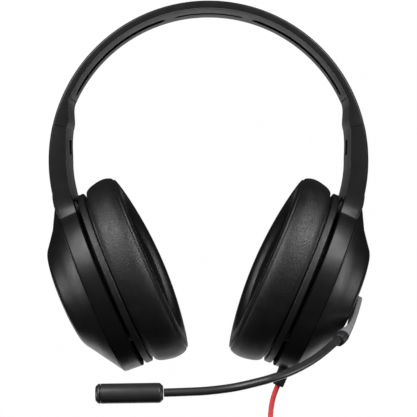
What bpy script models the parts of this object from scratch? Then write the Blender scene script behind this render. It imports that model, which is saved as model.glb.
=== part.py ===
"""Over-ear gaming headset: sprung headband, sliding arms, tilting cups, boom microphone, USB lead.

Lengths below are millimetres, and the meshes are made in metres. +Z is up, +X is the wearer's left
and -Y is the wearer's front. The origin is the middle of the liner's underside at the crown, where
the headset rests on the head.

The headband and the arms are drawn on one curve, the outer surface of the band: an arc from the
crown, then the arc's tangent. A place on it is (s, depth, y): s along the curve from the crown,
depth towards the head, y to the rear. A place on an ear cup is (u, y, a): u up along the cup,
y to the rear and a outward, from the middle of the yoke ring.
"""

import math

import bmesh
import bpy
from mathutils import Vector

MM = 0.001
GAP = 0.3  # clearance between neighbours that touch on the real object
LEFT = 1
RIGHT = -1
SIDES = {"left": LEFT, "right": RIGHT}
Y_AXIS = Vector((0, 1, 0))

# Headband
CROWN_TOP = 4.4
BAND_RADIUS = 82.7
CUP_LEAN = math.radians(22.6)  # how far the lower edge of a cup leans towards the head
ARC_END = BAND_RADIUS * (math.pi / 2 + CUP_LEAN)
BAND_HALF_WIDTH = 19.0
BAND_WALL = 1.1
BAND_SIDE_WALL = 1.6
SEAM = BAND_RADIUS * math.radians(77)  # where the headband ends and an arm begins
THICKNESS = ((0, 3.9), (95.3, 3.9), (109, 7.6), (130, 9.3), (152, 9.8), (300, 9.8))
BAND_STEPS = 41

LINER_END = 94.5
LINER_TOP = 3.1
LINER_RISE = 0.5  # the liner's middle stands proud of its edges
LINER_FLAT = 12.0
CROWN_SLOT = (19.3, 2.4)
SIDE_SLOT = (24.5, 91.7, 4.5)
SLEEVE_COVER = 1.5
SPRING = (78.0, 11.0, 1.5, 2.2)

# Sliders: a straight steel strip, tangent to the band at STRIP_ANGLE
STRIP_ANGLE = math.radians(86)
STRIP_DEPTH = 5.9
STRIP_HALF_WIDTH = 9.0
STRIP_HALF_THICKNESS = 0.45
STRIP_REACH = (-12.0, 34.0)  # along the strip, from the seam
STRIP_SLOT = (2.8, 30.0)
STRIP_SLOT_HALF = 1.6
STOP_PIN = (4.3, 1.2)
RIVET = (-7.0, 1.5)

# Arms and yoke rings
ARM_HALF_WIDTH = 19.5
ARM_WALL = 2.0
ARM_SIDE_WALL = 2.2
ARM_COVER = 1.6
FLARE_START = 150.0
ARM_END = 168.0
FLARE = 9.1
FLARE_DRAFT = 1.7
WINDOW = (116.9, 125.6, 0.0, 11.0)
CUP_S = 200.6
CUP_DEPTH = 5.3
OVAL = 0.81  # a cup's width front to back, as a share of its height
SEGMENTS = 40
RING_LOW = -4.55
RING_HIGH = 5.35
RING_OUTER = (48.2, 46.5)
RING_INNER = (45.8, 44.1)
BOSS = (33.4, 36.8, 3.4)
TRUNNION_RADIUS = 1.5

# Outer covers: a low dome on a cone, as (radius, height) from the middle outwards
COVER_OUTER = (
    (0, 22.4),
    (9.0, 22.25),
    (17.5, 21.7),
    (24.0, 20.6),
    (27.0, 19.4),
    (28.7, 18.2),
    (36.5, 12.3),
    (46.3, 5.65),
)
COVER_INNER = (
    (44.2, 5.65),
    (27.4, 16.4),
    (24.0, 18.4),
    (9.0, 20.1),
    (0, 20.2),
)

# Boom, on the left cover
HUB_U = -4.0
HUB_PIN_RADIUS = 2.0
BOOM_ANGLE = math.radians(62)  # the boom's lean, from straight down towards the front
POD_TOP = 25.9
POD_FALL = 0.0019  # the arm's top falls away along it, as a parabola
POD_THICKNESS = 3.0
POD_BACK = 7.2
POD_HALF_WIDTH = 6.8
POD_END = 31.5
POD_DEEPENS = (14.0, 3.5)  # where the arm starts to deepen towards the collar, and how late
COLLAR_A = 20.0
COLLAR_RADIUS = 3.5
TUBE_DIAMETER = 4.0
TUBE_ROUTE = (
    (65.6, -31.7, -170.4),
    (63.8, -34.5, -171.05),
    (58.3, -44.0, -174.15),
    (52.3, -53.0, -177.2),
    (45.1, -62.0, -180.1),
    (38.2, -69.5, -182.2),
    (31.55, -75.5, -183.65),
    (25.0, -79.8, -185.0),
    (12.3, -84.8, -187.25),
    (-0.2, -86.8, -188.6),
    (-11.0, -87.0, -189.15),
    (-20.9, -87.0, -189.5),
)
MIC_START = Vector((-21.2, -87.0, -189.55))
MIC_AXIS = Vector((-1.0, 0.0, -0.014)).normalized()
MIC_RADIUS = 4.7
MIC_LENGTH = 31.7

# Controls on the left ring
WHEEL_PLACE = (-20.4, 30.2)
WHEEL_RADIUS = 5.5
WHEEL_SPAN = (0.4, 4.4)
BUTTON_PLACE = (15.0, 36.3)
BUTTON_NORMAL = (0.262, 0.965)
BUTTON_A = 1.0

# Lead: leaves the left cup downward, and its spare length hangs in a tied coil
CORD_DIAMETER = 2.8
BOOT_A = 2.0
BOOT_END = -57.2
LEAD_ROUTE = (
    (36.67, 0.0, -197.05),
    (35.5, 0.0, -199.9),
    (34.5, -0.1, -202.8),
    (33.7, -0.3, -206.0),
    (33.15, -0.6, -209.2),
    (32.85, -1.0, -212.2),
    (32.8, -1.6, -214.8),
    (33.2, -2.2, -217.3),
    (34.1, -2.7, -219.4),
)
COIL_CENTRE = Vector((33.4, 0.0, -243.5))
COIL_RADIUS = 16.8
COIL_HALF_BUILD = 5.15
COIL_HALF_WIDTH = 7.1
TIE_HALF_HEIGHT = 1.6
TIE_THICKNESS = 0.9
TAIL_ROUTE = (
    (33.2, -9.0, -230.4),
    (36.4, -9.3, -231.0),
    (38.9, -9.8, -233.2),
    (40.2, -10.3, -236.6),
    (40.6, -10.7, -241.0),
    (40.6, -10.9, -247.0),
    (40.5, -11.0, -254.0),
    (40.5, -11.0, -261.7),
)
PLUG_TOP = Vector((40.5, -11.0, -262.0))
GRIP_LENGTH = 32.0

LOOKS = {  # colour, roughness, metallic
    "shell_plastic": ((0.018, 0.018, 0.02), 0.42, 0.0),
    "liner_rubber": ((0.05, 0.05, 0.055), 0.6, 0.0),
    "spring_steel": ((0.5, 0.5, 0.52), 0.3, 1.0),
    "inner_plastic": ((0.03, 0.03, 0.03), 0.5, 0.0),
    "leatherette": ((0.02, 0.02, 0.022), 0.55, 0.0),
    "mesh_fabric": ((0.01, 0.01, 0.01), 0.9, 0.0),
    "boom_silver": ((0.33, 0.33, 0.35), 0.35, 0.6),
    "boom_rubber": ((0.015, 0.015, 0.016), 0.5, 0.0),
    "cable_red": ((0.72, 0.05, 0.06), 0.45, 0.0),
    "board_green": ((0.02, 0.12, 0.05), 0.5, 0.0),
}


# ---- places ----------------------------------------------------------------


def band_point(s, depth, y):
    """A point under the band's outer surface, at curve length s from the crown."""
    side = math.copysign(1.0, s)
    turn = min(abs(s), ARC_END) / BAND_RADIUS
    past = max(abs(s) - ARC_END, 0.0)
    x = (BAND_RADIUS - depth) * math.sin(turn) + past * math.cos(turn)
    z = (BAND_RADIUS - depth) * math.cos(turn) - past * math.sin(turn)
    return Vector((side * x, y, CROWN_TOP - BAND_RADIUS + z))


def cup_axes(side):
    """The upward and the outward direction of a cup."""
    up = Vector((side * math.sin(CUP_LEAN), 0, math.cos(CUP_LEAN)))
    outward = Vector((side * math.cos(CUP_LEAN), 0, -math.sin(CUP_LEAN)))
    return up, outward


def cup_point(side, u, y, a):
    up, outward = cup_axes(side)
    return band_point(side * CUP_S, CUP_DEPTH, 0) + up * u + outward * a + Y_AXIS * y


def strip_axes(side):
    """A slider strip's tangent point, its downward direction and its direction towards the head."""
    down = Vector((side * math.cos(STRIP_ANGLE), 0, -math.sin(STRIP_ANGLE)))
    inward = Vector((-side * math.sin(STRIP_ANGLE), 0, -math.cos(STRIP_ANGLE)))
    return band_point(side * BAND_RADIUS * STRIP_ANGLE, STRIP_DEPTH, 0), down, inward


def strip_point(side, along, y, across):
    """A point of a strip: along it from the seam, y to the rear, across it towards the head."""
    touch, down, inward = strip_axes(side)
    seam_offset = (BAND_RADIUS - STRIP_DEPTH) * math.tan(STRIP_ANGLE - SEAM / BAND_RADIUS)
    return touch + down * (along - seam_offset) + inward * across + Y_AXIS * y


def boom_point(e, f, a):
    """A point of the boom: e along it from the hub, f across it, a outward from the cup."""
    u = HUB_U - e * math.cos(BOOM_ANGLE) + f * math.sin(BOOM_ANGLE)
    y = -e * math.sin(BOOM_ANGLE) - f * math.cos(BOOM_ANGLE)
    return cup_point(LEFT, u, y, a)


def oval_on(side):
    """Places a turned profile on a cup, squashed front to back."""
    return lambda p, q, a: cup_point(side, p, q * OVAL, a)


def round_on(side, u=0.0, y=0.0):
    return lambda p, q, a: cup_point(side, u + p, y + q, a)


def about(origin, axis):
    """Places a turned profile round any axis, with heights measured along it from origin."""
    turn = axis.to_track_quat("Z", "Y").to_matrix()
    return lambda p, q, h: origin + turn @ Vector((p, q, h))


def thickness(s):
    """How deep the band or an arm is at curve length s."""
    s = abs(s)
    for (s0, t0), (s1, t1) in zip(THICKNESS, THICKNESS[1:]):
        if s <= s1:
            share = (s - s0) / (s1 - s0)
            return t0 + (t1 - t0) * share * share * (3 - 2 * share)
    return THICKNESS[-1][1]


def arm_half_width(s):
    return ARM_HALF_WIDTH + FLARE * (max(0.0, s - FLARE_START) / (ARM_END - FLARE_START)) ** 1.5


def spread(first, last, count):
    return [first + (last - first) * k / count for k in range(count + 1)]


# ---- solids ----------------------------------------------------------------


def loft(sections, closed=False):
    """Points and faces through equal outlines; closed joins the last outline to the first."""
    size = len(sections[0])
    rows = len(sections)
    faces = []
    for row in range(rows if closed else rows - 1):
        here = row * size
        there = (row + 1) % rows * size
        for k in range(size):
            after = (k + 1) % size
            faces.append((here + k, here + after, there + after, there + k))
    if not closed:
        faces.append(tuple(range(size)))
        faces.append(tuple(range((rows - 1) * size, rows * size)))
    return [point for section in sections for point in section], faces


def turned(profile, place, segments=SEGMENTS):
    """Points and faces of a profile of (radius, height), turned; it may start and end on the axis."""
    has_poles = profile[0][0] == 0
    rim = profile[1:-1] if has_poles else profile
    size = len(rim)
    turns = [2 * math.pi * k / segments for k in range(segments)]
    points = [place(r * math.cos(t), r * math.sin(t), h) for t in turns for r, h in rim]
    first, last = len(points), len(points) + 1
    if has_poles:
        points += [place(0, 0, profile[0][1]), place(0, 0, profile[-1][1])]
    faces = []
    for k in range(segments):
        here = k * size
        there = (k + 1) % segments * size
        if has_poles:
            faces.append((first, here, there))
            faces.append((last, there + size - 1, here + size - 1))
        for m in range(size - 1 if has_poles else size):
            after = (m + 1) % size
            faces.append((here + m, here + after, there + after, there + m))
    return points, faces


def rod(radius, start, end):
    return ((0, start), (radius, start), (radius, end), (0, end))


def brick(place, low, high):
    """A box between two corners, in the coordinates that place reads."""
    outline = ((low[0], low[1]), (high[0], low[1]), (high[0], high[1]), (low[0], high[1]))
    return loft([[place(p, q, h) for p, q in outline] for h in (low[2], high[2])])


def superellipse(half_p, half_q, power, count=16):
    """An outline between a box and an ellipse; power 2 is the ellipse."""

    def bend(value):
        return math.copysign(abs(value) ** (2 / power), value)

    turns = [2 * math.pi * (k + 0.5) / count for k in range(count)]
    return [(half_p * bend(math.cos(t)), half_q * bend(math.sin(t))) for t in turns]


def smooth_route(route, spacing):
    """Points at about this spacing on a smooth curve through a route's own points."""
    knots = [Vector(knot) for knot in route]
    knots = [2 * knots[0] - knots[1], *knots, 2 * knots[-1] - knots[-2]]
    samples = []
    for before, start, end, after in zip(knots, knots[1:], knots[2:], knots[3:]):
        pieces = max(1, round((end - start).length / spacing))
        for k in range(pieces):
            t = k / pieces
            bend = 2 * before - 5 * start + 4 * end - after
            twist = 3 * start - before - 3 * end + after
            samples.append((2 * start + (end - before) * t + bend * t**2 + twist * t**3) / 2)
    return [*samples, knots[-2]]


# ---- scene objects ---------------------------------------------------------


BODIES = {}
MATERIALS = {}


def material(look):
    if look not in MATERIALS:
        colour, roughness, metallic = LOOKS[look]
        made = bpy.data.materials.new(look)
        made.use_nodes = True
        shader = made.node_tree.nodes["Principled BSDF"]
        shader.inputs["Base Color"].default_value = (*colour, 1)
        shader.inputs["Roughness"].default_value = roughness
        shader.inputs["Metallic"].default_value = metallic
        MATERIALS[look] = made
    return MATERIALS[look]


def add_body(name, parent, origin, axis):
    """An empty on a body's joint, with its own Z along the joint's axis."""
    frame = axis.to_track_quat("Z", "Y").to_matrix().to_4x4()
    frame.translation = origin * MM
    empty = bpy.data.objects.new(f"{name}_joint", None)
    empty.empty_display_size = 10 * MM
    bpy.context.collection.objects.link(empty)
    if parent:
        empty.parent, parent_frame = BODIES[parent]
        empty.matrix_basis = parent_frame.inverted() @ frame
    else:
        empty.matrix_basis = frame
    BODIES[name] = (empty, frame)


def attach(obj, body, look):
    obj.parent = BODIES[body][0]
    obj.data.materials.append(material(look))
    bpy.context.collection.objects.link(obj)
    return obj


def add_solid(name, body, look, shape):
    """A closed mesh from points and faces, kept in its body's own frame."""
    points, faces = shape
    to_body = BODIES[body][1].inverted()
    mesh = bpy.data.meshes.new(name)
    mesh.from_pydata([to_body @ (point * MM) for point in points], [], faces)
    outward = bmesh.new()
    outward.from_mesh(mesh)
    bmesh.ops.recalc_face_normals(outward, faces=outward.faces)
    outward.to_mesh(mesh)
    outward.free()
    mesh.shade_smooth()
    mesh.set_sharp_from_angle(angle=math.radians(35))
    return attach(bpy.data.objects.new(name, mesh), body, look)


def add_tube(name, body, look, route, diameter, spacing):
    """A round tube with closed ends along a route."""
    to_body = BODIES[body][1].inverted()
    curve = bpy.data.curves.new(name, "CURVE")
    curve.dimensions = "3D"
    curve.bevel_depth = diameter / 2 * MM
    curve.bevel_resolution = 2
    curve.use_fill_caps = True
    samples = smooth_route(route, spacing)
    spline = curve.splines.new("POLY")
    spline.points.add(len(samples) - 1)
    for knot, sample in zip(spline.points, samples):
        knot.co = (*(to_body @ (sample * MM)), 1)
    return attach(bpy.data.objects.new(name, curve), body, look)


def combine(target, operation, shape):
    """Cuts a shape from a solid (DIFFERENCE), or joins it on (UNION)."""
    body = target.parent.name.removesuffix("_joint")
    number = len(target.modifiers) + 1
    tool = add_solid(f"{target.name}_tool_{number}", body, "inner_plastic", shape)
    tool.hide_render = True
    tool.display_type = "WIRE"
    modifier = target.modifiers.new(f"{operation.lower()}_{number}", "BOOLEAN")
    modifier.operation = operation
    modifier.solver = "EXACT"
    modifier.object = tool


# ---- headband --------------------------------------------------------------


def channel(s, half_width, wall, side_wall, draft=0.0):
    """A C-shaped section at s, open towards the head, its outer corners rounded."""
    depth = thickness(s)
    corner = 1.2
    half_outline = (
        (half_width - corner, 0.0),
        (half_width - 0.3 * corner, 0.3 * corner),
        (half_width, corner),
        (half_width, depth),
        (half_width - side_wall, depth),
        (half_width - side_wall, wall),
    )
    drafted = [(y - draft * (1 - d / depth), d) for y, d in half_outline]
    outline = drafted + [(-y, d) for y, d in reversed(drafted)]
    return [band_point(s, d, y) for y, d in outline]


def strap(s_values, outline_at):
    """A loft along the band through outline_at(s), an outline of (y, depth)."""
    return loft([[band_point(s, d, y) for y, d in outline_at(s)] for s in s_values])


def slab(half_width, top, under):
    """An outline of constant width between two depths, each a number or a function of s."""

    def outline(s):
        high = top(s) if callable(top) else top
        low = under(s) if callable(under) else under
        half = half_width(s) if callable(half_width) else half_width
        return ((-half, high), (half, high), (half, low), (-half, low))

    return outline


def slot(first, last, half_width, top, under, centre=0.0):
    """A cutter for a slot in the band."""

    def outline(_):
        low, high = centre - half_width, centre + half_width
        return ((low, top), (high, top), (high, under), (low, under))

    return strap(spread(first, last, max(2, round(abs(last - first) / 6))), outline)


def make_headband():
    end = SEAM - GAP / 2
    sections = [
        channel(s, BAND_HALF_WIDTH, BAND_WALL, BAND_SIDE_WALL) for s in spread(-end, end, BAND_STEPS)
    ]
    add_solid("headband_shell", "headband", "shell_plastic", loft(sections))

    half = BAND_HALF_WIDTH - BAND_SIDE_WALL - GAP

    def liner_outline(_):
        edge = THICKNESS[0][1]
        middle = edge + LINER_RISE
        return (
            (-half, LINER_TOP),
            (half, LINER_TOP),
            (half, edge),
            (LINER_FLAT, middle),
            (-LINER_FLAT, middle),
            (-half, edge),
        )

    liner_steps = spread(-LINER_END, LINER_END, 35)
    liner = add_solid("headband_liner", "headband", "liner_rubber", strap(liner_steps, liner_outline))
    crown_half, crown_width = CROWN_SLOT
    combine(liner, "DIFFERENCE", slot(-crown_half, crown_half, crown_width, 2.5, 5.0))
    for side in (RIGHT, LEFT):
        near, far, width = SIDE_SLOT
        combine(liner, "DIFFERENCE", slot(side * near, side * far, width, 2.5, 5.0))

    reach, width, top, under = SPRING
    steel = strap(spread(-reach, reach, 29), slab(width, top, under))
    add_solid("headband_spring", "headband", "spring_steel", steel)


def make_sleeve(name, side):
    """The headband's end: the cover under it, and the strip that the arm slides on."""
    half = BAND_HALF_WIDTH - BAND_SIDE_WALL - GAP
    steps = [side * s for s in spread(LINER_END + GAP, SEAM - GAP / 2, 4)]
    outline = slab(half, lambda s: thickness(s) - SLEEVE_COVER, thickness)
    add_solid(f"{name}_sleeve_cover", "headband", "inner_plastic", strap(steps, outline))

    def place(along, y, across):
        return strip_point(side, along, y, across)

    start, end = STRIP_REACH
    thick = STRIP_HALF_THICKNESS
    bar = brick(place, (start, -STRIP_HALF_WIDTH, -thick), (end, STRIP_HALF_WIDTH, thick))
    strip = add_solid(f"{name}_slider_strip", "headband", "spring_steel", bar)
    slot_half = STRIP_SLOT_HALF
    opening = brick(place, (STRIP_SLOT[0], -slot_half, -2), (STRIP_SLOT[1], slot_half, 2))
    combine(strip, "DIFFERENCE", opening)
    along, radius = RIVET
    _, _, inward = strip_axes(side)
    centre = about(place(along, 0, 0), inward)
    combine(strip, "DIFFERENCE", turned(rod(radius + GAP, -2, 2), centre, 16))
    add_solid(
        f"{name}_strip_rivet", "headband", "spring_steel", turned(rod(radius, -1.3, 0.8), centre, 16)
    )


# ---- arms ------------------------------------------------------------------


def cone(radius_low, radius_high, low, high):
    """A solid cone on a cup's axis, its radii given at the ring's two faces."""
    slope = (radius_high - radius_low) / (RING_HIGH - RING_LOW)
    at_low = radius_low + slope * (low - RING_LOW)
    at_high = radius_low + slope * (high - RING_LOW)
    return ((0, low), (at_low, low), (at_high, high), (0, high))


def make_yoke(name, side):
    """The arm and the ring that holds the cup, moulded in one."""
    steps = spread(SEAM + GAP / 2, FLARE_START, 8) + spread(FLARE_START, ARM_END, 6)[1:]
    sections = []
    for s in steps:
        draft = FLARE_DRAFT * max(0.0, s - FLARE_START) / (ARM_END - FLARE_START)
        sections.append(channel(s, arm_half_width(s), ARM_WALL, ARM_SIDE_WALL, draft))
    if side == RIGHT:
        sections = [[Vector((-p.x, p.y, p.z)) for p in section] for section in sections]
    yoke = add_solid(f"{name}_yoke", f"{name}_arm", "shell_plastic", loft(sections))

    oval = oval_on(side)
    middle = [(outer + inner) / 2 for outer, inner in zip(RING_OUTER, RING_INNER)]
    combine(yoke, "DIFFERENCE", turned(cone(*middle, -8, 9), oval))
    ring = (
        (RING_OUTER[0], RING_LOW),
        (RING_OUTER[1], RING_HIGH),
        (RING_INNER[1], RING_HIGH),
        (RING_INNER[0], RING_LOW),
    )
    combine(yoke, "UNION", turned(ring, oval))
    inner, outer, radius = BOSS
    for way in (-1, 1):
        boss = about(cup_point(side, 0, 0, 0), Y_AXIS * way)
        combine(yoke, "UNION", turned(rod(radius, inner, outer), boss, 16))
    bore = about(cup_point(side, 0, 0, 0), Y_AXIS)
    depth = outer - 2 * GAP
    combine(yoke, "DIFFERENCE", turned(rod(TRUNNION_RADIUS + GAP, -depth, depth), bore, 16))
    return yoke


def make_arm_cover(name, side):
    def half(s):
        return arm_half_width(abs(s)) - ARM_SIDE_WALL - GAP

    outline = slab(half, lambda s: thickness(s) - ARM_COVER, thickness)
    steps = [side * s for s in spread(SEAM + GAP / 2, 160, 9)]
    cover = add_solid(f"{name}_arm_cover", f"{name}_arm", "inner_plastic", strap(steps, outline))
    edge = cone(RING_OUTER[0] + GAP, RING_OUTER[1] + GAP, -9, 3)
    combine(cover, "DIFFERENCE", turned(edge, oval_on(side)))
    near, far, front, rear = WINDOW
    window = slot(side * near, side * far, (rear - front) / 2, 4.0, 12.0, (rear + front) / 2)
    combine(cover, "DIFFERENCE", window)


def make_slider_fittings(name, side):
    """What the strip runs against inside the arm."""
    along, radius = STOP_PIN
    _, _, inward = strip_axes(side)
    pin = about(strip_point(side, along, 0, 0), inward)
    add_solid(
        f"{name}_stop_pin", f"{name}_arm", "spring_steel", turned(rod(radius, -2.9, 0.65), pin, 16)
    )
    leaf = ((6.0, 13.0), (9.5, 12.6), (12.0, 9.9), (14.5, 12.6), (18.0, 13.0))
    outline = [*leaf, *[(along, y + 0.5) for along, y in reversed(leaf)]]
    sections = [
        [strip_point(side, along, y, across) for along, y in outline] for across in (-1.2, 0.4)
    ]
    add_solid(f"{name}_detent_spring", f"{name}_arm", "spring_steel", loft(sections))


def make_outer_cover(name, side):
    shape = turned(COVER_OUTER + COVER_INNER, oval_on(side))
    cover = add_solid(f"{name}_outer_cover", f"{name}_arm", "shell_plastic", shape)
    if side == LEFT:
        hole = turned(rod(HUB_PIN_RADIUS + GAP, 15, 25), round_on(side, HUB_U), 16)
        combine(cover, "DIFFERENCE", hole)


# ---- cups ------------------------------------------------------------------


def make_cup(name, side):
    """The part that tilts in the yoke ring: baffle, driver, mesh and cushion."""
    body = f"{name}_cup"
    oval = oval_on(side)
    baffle_profile = (
        (21.0, -8.4),
        (44.5, -8.4),
        (44.5, -6.4),
        (34.0, -6.4),
        (34.0, 3.0),
        (32.0, 3.0),
        (32.0, -6.4),
        (21.0, -6.4),
    )
    baffle = add_solid(f"{name}_baffle", body, "inner_plastic", turned(baffle_profile, oval))
    for way in (-1, 1):
        trunnion = about(cup_point(side, 0, 0, 0), Y_AXIS * way)
        end = BOSS[1] - 3 * GAP
        combine(baffle, "UNION", turned(rod(TRUNNION_RADIUS, 26.6, end), trunnion, 16))

    lip = (
        (44.8, -6.3),
        (47.0, -6.3),
        (47.9, -7.5),
        (47.9, -10.5),
        (46.8, -11.8),
        (40.0, -11.8),
        (40.0, -8.7),
        (44.8, -8.7),
    )
    add_solid(f"{name}_cushion_ring", body, "leatherette", turned(lip, oval))
    add_solid(f"{name}_ear_mesh", body, "mesh_fabric", turned(rod(39.6, -9.5, -8.7), oval))

    driver = (
        (0, -6.1),
        (24.6, -6.1),
        (25.0, -5.0),
        (25.0, -1.0),
        (17.0, 1.0),
        (15.0, 5.2),
        (0, 5.2),
    )
    add_solid(f"{name}_driver", body, "inner_plastic", turned(driver, round_on(side), 32))

    cushion = (
        (47.0, -12.1),
        (49.3, -16.5),
        (51.0, -22.5),
        (51.0, -26.0),
        (49.6, -28.3),
        (45.4, -30.2),
        (41.0, -31.1),
        (36.0, -31.1),
        (32.6, -28.8),
        (31.4, -22.0),
        (32.0, -12.1),
    )
    add_solid(f"{name}_ear_cushion", body, "leatherette", turned(cushion, oval))


# ---- left side only --------------------------------------------------------


def make_controls(yoke):
    """The volume wheel and the mute button on the left ring, and the board they work on."""
    u, y = WHEEL_PLACE
    wheel = turned(rod(WHEEL_RADIUS, *WHEEL_SPAN), round_on(LEFT, u, y), 28)
    add_solid("volume_wheel", "volume_wheel", "boom_rubber", wheel)
    low, high = WHEEL_SPAN
    well = turned(rod(WHEEL_RADIUS + GAP, low - GAP, high + GAP), round_on(LEFT, u, y), 28)
    combine(yoke, "DIFFERENCE", well)

    def button(half_length, half_height, inner, outer):
        """A rounded bar standing out along the button's normal."""
        sections = []
        for out in (inner, outer):
            sections.append([button_point(p, q, out) for p, q in superellipse(half_length, half_height, 4)])
        return loft(sections)

    add_solid("mute_button", "mute_button", "boom_rubber", button(4.0, 2.0, -4.0, 1.0))
    combine(yoke, "DIFFERENCE", button(4.0 + GAP, 2.0 + GAP, -3.0, 3.0))

    board = brick(round_on(LEFT), (-20.0, -15.0, 7.0), (20.0, 15.0, 8.6))
    add_solid("circuit_board", "left_arm", "board_green", board)


def button_point(along, across, out):
    """A point of the mute button: along the ring, across it (outward from the cup), and out."""
    normal_u, normal_y = BUTTON_NORMAL
    u = BUTTON_PLACE[0] + normal_u * out + normal_y * along
    y = BUTTON_PLACE[1] + normal_y * out - normal_u * along
    return cup_point(LEFT, u, y, BUTTON_A + across)


def make_boot(yoke):
    """The lead's strain relief: a flange inside the ring, and a taper that leaves it downward."""

    def section(u, half_y, half_a, centre_a=BOOT_A):
        return [cup_point(LEFT, u, q, centre_a + a) for q, a in superellipse(half_y, half_a, 3.5, 12)]

    taper = (
        section(-42.2, 5.2, 2.5),
        section(-43.4, 5.2, 2.5),
        section(-43.4, 4.0, 2.5),
        section(-44.6, 4.0, 3.2),
        section(-50.0, 3.7, 3.1),
        section(BOOT_END, 3.4, 3.0),
    )
    add_solid("cable_boot", "left_arm", "boom_rubber", loft(taper))
    notch = loft([section(u, 4.3, 4.6, BOOT_A + 1.1) for u in (-43.0, -52.0)])
    combine(yoke, "DIFFERENCE", notch)


def pod_section(e):
    """A section across the boom's arm: a flat pad over the hub, round where the collar meets it."""
    top = POD_TOP - POD_FALL * (e + 3.0) ** 2
    start, lateness = POD_DEEPENS
    fall = max(0.0, (e - start) / (POD_END - start)) ** lateness
    under = top - POD_THICKNESS - (2 * COLLAR_RADIUS - POD_THICKNESS) * fall
    if e < 0:
        half = POD_HALF_WIDTH * math.sqrt(1 - (e / POD_BACK) ** 2)
    else:
        half = POD_HALF_WIDTH + (COLLAR_RADIUS - POD_HALF_WIDTH) * e / POD_END
    outline = superellipse(half, (top - under) / 2, 5.0 - 2.8 * fall)
    return [boom_point(e, f, (top + under) / 2 + a) for f, a in outline]


def make_boom():
    hub_top = POD_TOP - POD_FALL * 9.0 - POD_THICKNESS - GAP
    pin = (
        (0, 16.6),
        (4.0, 16.6),
        (4.0, 18.2),
        (HUB_PIN_RADIUS, 18.2),
        (HUB_PIN_RADIUS, hub_top),
        (0, hub_top),
    )
    add_solid("boom_hub_pin", "boom", "spring_steel", turned(pin, round_on(LEFT, HUB_U), 16))

    back = (-0.97, -0.85, -0.6, -0.25)
    stations = [share * POD_BACK for share in back] + spread(3.0, POD_END, 8)
    add_solid("boom_arm", "boom", "boom_silver", loft([pod_section(e) for e in stations]))

    start = boom_point(POD_END + GAP, 0, COLLAR_A)
    first, second = (Vector(point) for point in TUBE_ROUTE[:2])
    away = (first - second).normalized()
    end = first + away * GAP
    radius = COLLAR_RADIUS
    near = [boom_point(POD_END + GAP, f, COLLAR_A + a) for f, a in superellipse(radius, radius, 2)]
    outward = cup_axes(LEFT)[1]
    side_way = outward.cross(away).normalized()
    out_way = away.cross(side_way)
    far = [end + side_way * f + out_way * a for f, a in superellipse(0.9 * radius, 0.9 * radius, 2)]
    middle = (start + end) / 2
    waist = [middle + (p + q - start - end) * 0.54 for p, q in zip(near, far)]
    add_solid("boom_collar", "boom", "boom_rubber", loft([near, waist, far]))
    add_tube("boom_tube", "boom", "boom_rubber", TUBE_ROUTE, TUBE_DIAMETER, 5.0)

    mic = about(MIC_START, MIC_AXIS)
    length = MIC_LENGTH - 2.5
    housing = (
        (0, 0),
        (3.2, 0),
        (MIC_RADIUS, 1.7),
        (MIC_RADIUS, length),
        (3.9, length),
        (3.9, 2.5),
        (0, 2.5),
    )
    add_solid("mic_housing", "boom", "boom_rubber", turned(housing, mic, 24))
    cap = (
        (0, length - 1.3),
        (3.5, length - 1.3),
        (3.5, length + GAP),
        (MIC_RADIUS, length + GAP),
        (MIC_RADIUS, MIC_LENGTH - 1.4),
        (3.4, MIC_LENGTH),
        (0, MIC_LENGTH),
    )
    add_solid("mic_end_cap", "boom", "boom_rubber", turned(cap, mic, 24))
    add_solid("mic_element", "boom", "spring_steel", turned(rod(3.0, 20.0, 26.5), mic, 16))


def make_cord():
    body = "left_arm"
    add_tube("cord_lead", body, "cable_red", LEAD_ROUTE, CORD_DIAMETER, 4.0)
    add_tube("cord_tail", body, "cable_red", TAIL_ROUTE, CORD_DIAMETER, 4.0)
    section = superellipse(COIL_HALF_BUILD, COIL_HALF_WIDTH, 6, 12)
    profile = [(COIL_RADIUS + build, across) for build, across in section]
    coil = turned(profile, about(COIL_CENTRE, Y_AXIS), SEGMENTS)
    add_solid("cord_coil", body, "cable_red", coil)

    loop = superellipse(COIL_HALF_BUILD + 2 * GAP, COIL_HALF_WIDTH + 2 * GAP, 6, 20)
    outer = superellipse(
        COIL_HALF_BUILD + 2 * GAP + TIE_THICKNESS, COIL_HALF_WIDTH + 2 * GAP + TIE_THICKNESS, 6, 20
    )
    centre = COIL_CENTRE - Vector((COIL_RADIUS, 0, 0))
    sections = []
    for (x0, y0), (x1, y1) in zip(loop, outer):
        corners = ((x0, y0, -1), (x1, y1, -1), (x1, y1, 1), (x0, y0, 1))
        sections.append([centre + Vector((x, y, z * TIE_HALF_HEIGHT)) for x, y, z in corners])
    add_solid("cable_tie", body, "boom_rubber", loft(sections, closed=True))

    plug = about(PLUG_TOP, Vector((0, 0, -1)))
    grip = []
    for depth, half_x, half_y in ((0, 2.4, 2.4), (8, 3.0, 3.0), (10, 7.0, 3.6), (12, 8.0, 4.0), (30, 8.0, 4.0)):
        grip.append([plug(p, q, depth) for p, q in superellipse(half_x, half_y, 4)])
    grip.append([plug(p, q, GRIP_LENGTH) for p, q in superellipse(7.6, 3.6, 4)])
    add_solid("usb_plug_grip", body, "boom_rubber", loft(grip))
    top = GRIP_LENGTH + GAP
    shell_box = brick(plug, (-6.0, -2.25, top), (6.0, 2.25, top + 12))
    shell = add_solid("usb_plug_shell", body, "spring_steel", shell_box)
    combine(shell, "DIFFERENCE", brick(plug, (-5.6, -1.85, top + 0.8), (5.6, 1.85, top + 14)))
    tongue = brick(plug, (-5.2, -1.45, top + 1.1), (5.2, 0.3, top + 10.5))
    add_solid("usb_tongue", body, "inner_plastic", tongue)


# ---- the headset -----------------------------------------------------------


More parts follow.
